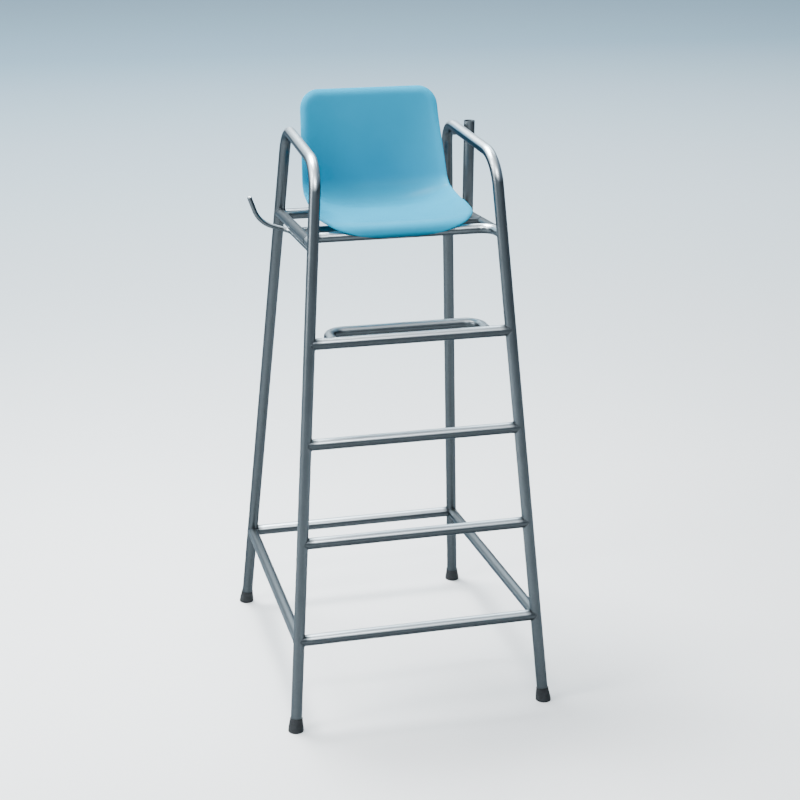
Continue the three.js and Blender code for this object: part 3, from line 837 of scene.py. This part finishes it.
def build_side_bars(legs):
    side_bars = []
    for word, side in SIDES:
        line = base_side_line(side)
        side_bars.append(sweep(f"{word}_base_cutter", BAR_RADIUS, line, closed=True))
        dress(tube(f"{word}_low_bar", BAR_RADIUS, line, cutters=legs), STEEL_Y, "steel_tube",
              f"{word}_base_bar")
        weld_ends(BAR_RADIUS, line, leg_line(side, FRONT), leg_line(side, REAR), LEG_RADIUS)
    return side_bars


def build_cross_bar(name, node, material, end, height, cutters):
    """A bar from the right to the left side frame, between the front legs or the rear ones."""
    line = bar_line(end, height)
    dress(tube(name, BAR_RADIUS, line, cutters=cutters), material, "steel_tube", node)
    weld_ends(BAR_RADIUS, line, leg_line(RIGHT, end), leg_line(LEFT, end), LEG_RADIUS)


def build_footrest():
    rung_line = bar_line(FRONT, FOOTREST_HEIGHT)
    rung = sweep("top_rung_cutter", BAR_RADIUS, rung_line, closed=True)
    corners, radii = footrest_line()
    dress(tube("footrest_tube", FOOTREST_RADIUS, corners, radii, cutters=[rung]), FOOTHOLD,
          "steel_tube", "footrest_bar")
    weld_ends(FOOTREST_RADIUS, corners, rung_line, rung_line, BAR_RADIUS)
    remove([rung])


def build_seat_frame(legs, rails):
    corners, radii = seat_bar_line()
    nose = sweep("seat_bar_cutter", SEAT_RADIUS, corners, radii, closed=True)
    dress(tube("seat_front_tube", SEAT_RADIUS, corners, radii, cutters=legs), HANDHOLD,
          "steel_tube", "seat_front_rail")
    weld_ends(SEAT_RADIUS, corners, leg_line(RIGHT, FRONT), leg_line(LEFT, FRONT), LEG_RADIUS)
    for word, side in SIDES:
        line = seat_side_line(side)
        dress(tube(f"{word}_seat_tube", SEAT_RADIUS, line, cutters=legs + [nose]), STEEL_Y,
              "steel_tube", f"seat_{word}_rail")
        weld(SEAT_RADIUS, line[1], line[0], leg_line(side, REAR), LEG_RADIUS)
        weld(SEAT_RADIUS, line[0], line[1], line_points(corners, radii), SEAT_RADIUS)
    remove([nose])
    line = seat_cross_line()
    dress(tube("seat_cross_tube", SEAT_RADIUS, line, cutters=rails), COVERED, "steel_tube",
          "seat_crossbar")
    weld_ends(SEAT_RADIUS, line, seat_side_line(RIGHT), seat_side_line(LEFT), SEAT_RADIUS)


def build_frame():
    left_leg, right_leg = legs = build_side_frames()
    side_bars = build_side_bars(legs)
    rails = [sweep("rail_cutter", SEAT_RADIUS, seat_side_line(side), closed=True)
             for _, side in SIDES]
    build_cross_bar("rear_low_bar", "rear_base_bar", TREAD, REAR, BASE_HEIGHT, legs + side_bars)
    for i, height in enumerate(RUNG_HEIGHTS):
        cutters = legs + side_bars if height == BASE_HEIGHT else legs
        build_cross_bar(f"ladder_rung_{i + 1}", f"rung_{i + 1}", TREAD, FRONT, height, cutters)
    build_cross_bar("seat_rear_tube", "seat_rear_rail", STEEL_X, REAR, REAR_RAIL_HEIGHT,
                    legs + rails)
    build_footrest()
    build_seat_frame(legs, rails)
    build_bearers()
    build_hook(right_leg)
    build_parasol_tube(left_leg)
    remove(legs + side_bars + rails)


# Bearers and fasteners under the shell
def disc(name, radius, place, lift, height, sides=DISC_SIDES, bevel=0.0):
    """A cylinder square to the seat frame's plane, from lift to lift + height above it."""
    deselect()
    bpy.ops.mesh.primitive_cylinder_add(
        vertices=sides, radius=radius, depth=height,
        location=seat_place(*place, lift + height / 2), rotation=(-SEAT_TILT, 0, 0))
    obj = settle(name)
    if bevel:
        bevel_sharp_edges(obj, bevel)
    return obj


def build_bearers():
    rear_line = bar_line(REAR, REAR_RAIL_HEIGHT)
    cutters = [sweep("crossbar_cutter", SEAT_RADIUS, seat_cross_line(), closed=True),
               sweep("rear_rail_cutter", BAR_RADIUS, rear_line, closed=True)]
    length = (REAR_SEAT_Y - CROSSBAR_Y) / math.cos(SEAT_TILT)
    for word, side in SIDES:
        x = side * BEARER_SPACING / 2
        deselect()
        bpy.ops.mesh.primitive_cube_add(
            size=1, scale=(BEARER_WIDTH, length, BEARER_THICKNESS),
            location=seat_place(x, (CROSSBAR_Y + REAR_SEAT_Y) / 2, 0),
            rotation=(-SEAT_TILT, 0, 0))
        bearer = settle(f"{word}_seat_bearer")
        apply_modifier(bearer, "BEVEL", width=PLATE_BEVEL, segments=PLATE_BEVEL_STEPS)
        for cutter in cutters:
            combine(bearer, cutter)
        smooth(bearer)
        dress(bearer, COVERED, "steel_tube", f"seat_{word}_bearer")
        for end_word, y in BOLT_YS:
            build_bolt(f"{end_word}_{word}", (x, y))
    remove(cutters)


def build_bolt(name, place):
    """A washer under the bearer and a hexagon bolt that goes up into the shell's boss."""
    washer_lift = -BEARER_THICKNESS / 2 - GAP - WASHER_THICKNESS
    washer = disc(f"{name}_plate_washer", WASHER_RADIUS, place, washer_lift, WASHER_THICKNESS,
                  bevel=WASHER_BEVEL)
    smooth(washer)
    dress(washer, FIXING, "fixings", f"{name}_washer")
    head_lift = washer_lift - GAP - BOLT_HEAD_HEIGHT
    head = disc(f"{name}_hex_bolt", BOLT_HEAD_ACROSS / math.sqrt(3), place, head_lift,
                BOLT_HEAD_HEIGHT, sides=6)
    chamfer = disc("chamfer_cutter", BOLT_HEAD_ACROSS / 2 * BOLT_CHAMFER_SHARE, place, head_lift,
                   BOLT_HEAD_HEIGHT, bevel=BOLT_CHAMFER)
    combine(head, chamfer, "INTERSECT")
    remove([chamfer])
    length = GAP + WASHER_THICKNESS + GAP + BEARER_THICKNESS + GAP + BOLT_BITE + SHANK_OVERLAP
    shank = disc("shank", BOLT_RADIUS, place, head_lift + BOLT_HEAD_HEIGHT - SHANK_OVERLAP,
                 length, sides=BORE_SIDES)
    bolt = joined(f"{name}_hex_bolt", [head, shank])
    smooth(bolt)
    dress(bolt, FIXING, "fixings", f"{name}_bolt")


# Hook and parasol tube
def round_tip(rod, tip, outward):
    """Rounds the rod's end at the tip."""
    activate(rod)
    bpy.ops.object.mode_set(mode="EDIT")
    bpy.ops.mesh.select_mode(type="EDGE")
    bpy.ops.mesh.select_all(action="DESELECT")
    bpy.ops.object.mode_set(mode="OBJECT")
    for edge in rod.data.edges:
        ends = [rod.data.vertices[i].co for i in edge.vertices]
        edge.select = all((end - tip).dot(outward) > -HOOK_TIP_BAND for end in ends)
    bpy.ops.object.mode_set(mode="EDIT")
    bpy.ops.mesh.bevel(offset=HOOK_RADIUS * HOOK_TIP_SHARE, segments=HOOK_TIP_STEPS,
                       affect="EDGES")
    bpy.ops.object.mode_set(mode="OBJECT")


def build_hook(leg):
    """The rod comes in from its tip, turns under the seat rail and runs on to the front leg."""
    drop = math.sqrt((SEAT_RADIUS + HOOK_RADIUS - GAP) ** 2 - HOOK_RUN_OUT ** 2)
    under_rail = Vector((-HOOK_RUN_OUT, 0, -drop))
    station = seat_point(RIGHT, HOOK_STATION)
    root = station + Vector((-HOOK_ROOT_OUT, 0, -HOOK_ROOT_DROP))
    tip = Vector((-HOOK_REACH, HOOK_STATION, root.z + HOOK_RISE))
    bend = Vector((root.x + (tip.x - root.x) * HOOK_BEND_REACH_SHARE, HOOK_STATION,
                   root.z + (tip.z - root.z) * HOOK_BEND_RISE_SHARE))
    turn = station + under_rail
    far = seat_point(RIGHT, -SEAT_LEG_Y) + under_rail
    outward = (tip - bend).normalized()
    tip += outward * HOOK_RADIUS
    rod = sweep("lifebuoy_hook_rod", HOOK_RADIUS, [far, turn, bend, tip],
                [HOOK_RUN_BEND, HOOK_BEND], closed=True, sides=HOOK_SIDES)
    round_tip(rod, tip, outward)
    combine(rod, leg)
    smooth(rod, SOFT_SMOOTH_ANGLE)
    dress(rod, ROD, "steel_tube", "lifebuoy_hook")
    weld(HOOK_RADIUS, far, turn, leg_line(RIGHT, FRONT), LEG_RADIUS)
    seam = under_rail * (SEAT_RADIUS / under_rail.length) - Vector((STITCH_RADIUS, 0, 0))
    for share in STITCH_SHARES:
        y = HOOK_STATION - HOOK_RUN_BEND + (SEAT_BAR_Y - HOOK_STATION) * share
        line = [seat_point(RIGHT, y + shift) + seam
                for shift in (-STITCH_LENGTH / 2, STITCH_LENGTH / 2)]
        BEADS.append(sweep("hook_stitch", STITCH_RADIUS, line, closed=True, sides=STITCH_SIDES))


def build_parasol_tube(leg):
    rail = seat_point(LEFT, PARASOL_STATION)
    arm = arm_point(LEFT, PARASOL_STATION)
    x = rail.x + SEAT_RADIUS + PARASOL_RADIUS + 2 * GAP
    line = [Vector((x, PARASOL_STATION, rail.z - PARASOL_DROP)),
            Vector((x, PARASOL_STATION, arm.z + PARASOL_RISE))]
    pipe = sweep("parasol_socket_tube", PARASOL_RADIUS, line)
    apply_modifier(pipe, "SOLIDIFY", thickness=TUBE_WALL, offset=-1)
    bevel_sharp_edges(pipe, PARASOL_BEVEL)
    smooth(pipe)
    dress(pipe, POLE, "steel_tube", "parasol_tube")
    build_stop(line[0])
    lug_place = Vector(((x + arm.x) / 2, PARASOL_STATION, arm.z - LUG_DROP))
    build_lug(lug_place, x - arm.x, leg, line)


def build_stop(bottom):
    """The disc with a drain hole in the foot of the parasol tube."""
    deselect()
    bpy.ops.mesh.primitive_cylinder_add(
        vertices=DISC_SIDES, radius=PARASOL_RADIUS - TUBE_WALL - GAP, depth=STOP_THICKNESS,
        location=bottom + Vector((0, 0, STOP_THICKNESS / 2)))
    stop = settle("parasol_socket_stop")
    deselect()
    bpy.ops.mesh.primitive_cylinder_add(vertices=BORE_SIDES, radius=STOP_DRAIN_RADIUS,
                                        depth=4 * STOP_THICKNESS, location=bottom)
    drain = bpy.context.object
    combine(stop, drain)
    remove([drain])
    smooth(stop)
    dress(stop, STEEL_X, "steel_tube", "parasol_tube_stop")


def build_lug(place, length, leg, pole_line):
    """The small plate between the arm and the parasol tube."""
    deselect()
    bpy.ops.mesh.primitive_cube_add(size=1, scale=(length, LUG_THICKNESS, LUG_HEIGHT),
                                    location=place)
    lug = settle("parasol_socket_lug")
    apply_modifier(lug, "BEVEL", width=PLATE_BEVEL, segments=PLATE_BEVEL_STEPS)
    pole = sweep("parasol_cutter", PARASOL_RADIUS, pole_line, closed=True)
    for cutter in (leg, pole):
        combine(lug, cutter)
    remove([pole])
    smooth(lug)
    dress(lug, STEEL_X, "steel_tube", "parasol_tube_lug")


# Feet
def foot_rings():
    """Radius and height of each ring: sole, rim, bell, collar, and down inside the socket."""
    rings = [(FOOT_BASE_RADIUS, -FOOT_BASE_RADIUS / 2),
             (FOOT_BASE_RADIUS, FOOT_RIM_HEIGHT * FOOT_RIM_SHARE),
             (FOOT_BASE_RADIUS - FOOT_RIM_STEP, FOOT_RIM_HEIGHT)]
    for i in range(1, FOOT_BELL_RINGS + 1):
        share = i / FOOT_BELL_RINGS
        flare = (FOOT_BASE_RADIUS - FOOT_TOP_RADIUS) * (1 - share) ** FOOT_BELL_SHARE
        rise = (FOOT_HEIGHT - COLLAR_DROP - FOOT_RIM_HEIGHT) * share
        rings.append((FOOT_TOP_RADIUS + flare, FOOT_RIM_HEIGHT + rise))
    for drop in COLLAR_EDGE_DROPS:
        rings.append((FOOT_TOP_RADIUS + COLLAR_STEP, FOOT_HEIGHT - drop))
    socket = LEG_RADIUS + FOOT_SOCKET_GAP
    return rings + [(FOOT_TOP_RADIUS, FOOT_HEIGHT), (socket, FOOT_HEIGHT), (socket, FOOT_SOLE),
                    (FOOT_CENTRE_RADIUS, FOOT_SOLE)]


def build_foot(word, side, end):
    """Rings round the leg's line, each pulled out of the one before, cut level at the floor."""
    foot_at = leg_point(side, end, 0)
    axis = (leg_point(side, end, ARM_HEIGHT) - foot_at).normalized()
    rings = foot_rings()
    deselect()
    bpy.ops.mesh.primitive_circle_add(
        vertices=FOOT_SIDES, radius=rings[0][0], fill_type="NGON",
        location=foot_at + axis * rings[0][1], rotation=upright_along(axis))
    foot = settle(f"{word}_rubber_foot")
    bpy.ops.object.mode_set(mode="EDIT")
    bpy.ops.mesh.select_all(action="SELECT")
    for (radius, height), (next_radius, next_height) in zip(rings, rings[1:]):
        step = axis * (next_height - height)
        bpy.ops.mesh.extrude_region_move(TRANSFORM_OT_translate={"value": step})
        if next_radius != radius:
            share = next_radius / radius
            bpy.ops.transform.resize(value=(share, share, share),
                                     center_override=foot_at + axis * next_height)
    bpy.ops.mesh.select_all(action="SELECT")
    bpy.ops.mesh.bisect(plane_co=(0, 0, 0), plane_no=(0, 0, 1), use_fill=True, clear_inner=True)
    face_outward()
    bpy.ops.object.mode_set(mode="OBJECT")
    bevel_sharp_edges(foot, FOOT_BEVEL, FOOT_BEVEL_STEPS, FOOT_EDGE_ANGLE)
    smooth(foot, SOFT_SMOOTH_ANGLE)
    dress(foot, RUBBER, "rubber", f"{word}_foot")


def build_feet():
    for word, side in SIDES:
        build_foot(f"front_{word}", side, FRONT)
        build_foot(f"rear_{word}", side, REAR)


# Seat shell
def smoothstep(share):
    share = min(max(share, 0), 1)
    return share * share * (3 - 2 * share)


def stretch_of(stops, value):
    """The number of the stop that ends the stretch where the value lies."""
    n = 1
    while n < len(stops) - 1 and value > stops[n]:
        n += 1
    return n


def corner_cut(distance, size, fullness=2):
    """The share that a rounded corner takes off at a distance from its end: 1 there, 0 past its
    size."""
    left = max(0, 1 - distance / size)
    return 1 - max(0, 1 - left ** fullness) ** (1 / fullness)


class ShellForm:
    """The shell's surface. A run is a length down its centre section, from the top of the back to
    the lip's end, and x is the way across."""

    def __init__(self):
        crease = self.pan_point(CREASE_SETBACK)
        lip = self.pan_point(-LIP_REACH)
        corners = [crease + Vector((0, BACK_SLOPE * BACK_HEIGHT, BACK_HEIGHT)), crease, lip,
                   lip - Vector((0, 0, LIP_DROP))]
        self.points = [corners[0]]
        self.directions = [(corners[1] - corners[0]).normalized()]
        bend_starts = []
        for start, centre, axis, turn in bends_of(corners, [CREASE_RADIUS, LIP_RADIUS]):
            incoming = axis.cross(start - centre).normalized()
            bend_starts.append(len(self.points))
            for i in range(SHELL_BEND_STEPS + 1):
                rotation = Matrix.Rotation(turn * i / SHELL_BEND_STEPS, 3, axis)
                self.points.append(centre + rotation @ (start - centre))
                self.directions.append(rotation @ incoming)
        self.points.append(corners[-1])
        self.directions.append((corners[-1] - corners[-2]).normalized())
        self.runs = [0.0]
        for a, b in zip(self.points, self.points[1:]):
            self.runs.append(self.runs[-1] + (b - a).length)
        self.length = self.runs[-1]
        crease_start, lip_start = (self.runs[i] for i in bend_starts)
        crease_end = self.runs[bend_starts[0] + SHELL_BEND_STEPS]
        self.marks = [0, (crease_start + crease_end) / 2, (crease_end + lip_start) / 2,
                      self.length]

    @staticmethod
    def pan_point(setback):
        return Vector((0, SEAT_BAR_Y + setback,
                       SEAT_BAR_HEIGHT + PAN_LIFT - SEAT_FALL * setback))

    def blend(self, run, values):
        """The value at a run, from those at the top, the crease, the pan and the lip."""
        n = stretch_of(self.marks, run)
        share = (run - self.marks[n - 1]) / (self.marks[n] - self.marks[n - 1])
        return values[n - 1] + (values[n] - values[n - 1]) * smoothstep(share)

    def full(self, run):
        """Half the width without the rounded corners."""
        return self.blend(run, SHELL_HALVES)

    def half(self, run):
        """Half the width, less what the rounded corners take off."""
        top_cut = TOP_CORNER * corner_cut(run, TOP_CORNER)
        lip_share = corner_cut(self.length - run, LIP_CORNER_RUN, LIP_FULLNESS)
        return self.full(run) - top_cut - (PAN_HALF - LIP_FLAT_HALF) * lip_share

    def edge(self, run, x):
        """The distance to the nearest edge."""
        past = abs(x) - self.full(run) + TOP_CORNER
        if run < TOP_CORNER and past > 0:
            return TOP_CORNER - math.hypot(TOP_CORNER - run, past)
        return min(run, self.length - run, self.half(run) - abs(x))

    def place(self, run, x):
        """The point there, with the raised sides and the rolled rim."""
        n = stretch_of(self.runs, run)
        share = (run - self.runs[n - 1]) / (self.runs[n] - self.runs[n - 1])
        point = self.points[n - 1].lerp(self.points[n], share)
        direction = self.directions[n - 1].lerp(self.directions[n], share).normalized()
        inward = Vector((0, direction.z, -direction.y))
        wing = self.blend(run, WING_DEPTHS) * abs(x / self.full(run)) ** WING_SHARE
        roll = self.blend(run, RIM_ROLLS) * max(0, 1 - self.edge(run, x) / RIM_BAND) ** 2
        point.x = x
        return point + inward * (wing - roll)

    def painted_light(self, run, x):
        """Painted highlight along the rim and on the lip's bend, or painted shade below zero."""
        edge = self.edge(run, x)
        rim_light = self.blend(run, RIM_HIGHLIGHT) * (1 - smoothstep(edge / RIM_HIGHLIGHT_BAND))
        past_bend = abs(self.length - run - LIP_HIGHLIGHT_SETBACK)
        bend_light = LIP_HIGHLIGHT * (1 - smoothstep(past_bend / LIP_HIGHLIGHT_BAND))
        painted_shade = self.blend(run, RIM_SHADE) * (1 - smoothstep(edge / RIM_SHADE_BAND))
        return max(rim_light, bend_light) - painted_shade

    def rows(self):
        """The run of each row, closer together in the rounded corners."""
        middle_rows = SHELL_ROWS - 2 * SHELL_CORNER_ROWS
        middle = self.length - TOP_CORNER - LIP_CORNER_RUN
        arcs = [1 - math.cos(i / SHELL_CORNER_ROWS * math.pi / 2)
                for i in range(SHELL_CORNER_ROWS + 1)]
        return ([TOP_CORNER * arc for arc in arcs[:-1]]
                + [TOP_CORNER + middle * i / middle_rows for i in range(middle_rows)]
                + [self.length - LIP_CORNER_RUN * arc for arc in reversed(arcs)])

    def columns(self):
        """How far across each column is, from -1 to 1, closer together at the sides."""
        quarter = COLUMN_CROWDING * math.pi / 2
        return [math.sin((2 * i / SHELL_COLUMNS - 1) * quarter) / math.sin(quarter)
                for i in range(SHELL_COLUMNS + 1)]


def build_shell():
    form = ShellForm()
    runs, columns = form.rows(), form.columns()
    deselect()
    bpy.ops.mesh.primitive_grid_add(x_subdivisions=SHELL_COLUMNS, y_subdivisions=SHELL_ROWS,
                                    size=1, location=(0, 0, 0))
    shell = bpy.context.object
    shell.name = "moulded_seat_shell"
    rim = shell.data.attributes.new("rim", "FLOAT", "POINT")
    for vertex in shell.data.vertices:
        run = runs[round((0.5 - vertex.co.y) * SHELL_ROWS)]
        x = form.half(run) * columns[round((vertex.co.x + 0.5) * SHELL_COLUMNS)]
        vertex.co = form.place(run, x)
        # Painted highlight and painted shade of each point, kept in the attribute
        rim.data[vertex.index].value = form.painted_light(run, x)
    apply_modifier(shell, "SOLIDIFY", thickness=SHELL_THICKNESS, offset=-1, use_even_offset=True)
    apply_modifier(shell, "SUBSURF", levels=1)
    activate(shell)
    bpy.ops.object.mode_set(mode="EDIT")
    face_outward()
    bpy.ops.object.mode_set(mode="OBJECT")
    bosses = [build_boss((side * BEARER_SPACING / 2, y)) for _, side in SIDES for _, y in BOLT_YS]
    shell = joined("moulded_seat_shell", [shell] + bosses)
    smooth(shell, SOFT_SMOOTH_ANGLE)
    dress(shell, PLASTIC, "seat_plastic", "seat_shell")


def build_boss(place):
    bearer_top = BEARER_THICKNESS / 2
    boss = disc("boss", BOSS_RADIUS, place, bearer_top + GAP,
                PAN_LIFT - bearer_top - BOSS_TOP_DEPTH, bevel=BOSS_BEVEL)
    bore = disc("bore", BOLT_RADIUS + GAP, place, 0, bearer_top + BOLT_BITE + BORE_RUN_OUT,
                sides=BORE_SIDES)
    combine(boss, bore)
    remove([bore])
    return boss


camera()
floor()
room()
for light in AREA_LIGHTS:
    area_light(*light)
build_frame()
build_feet()
build_shell()
beads = joined("weld_beads", BEADS)
smooth(beads, BEAD_SMOOTH_ANGLE)
dress(beads, WELD, "steel_tube")
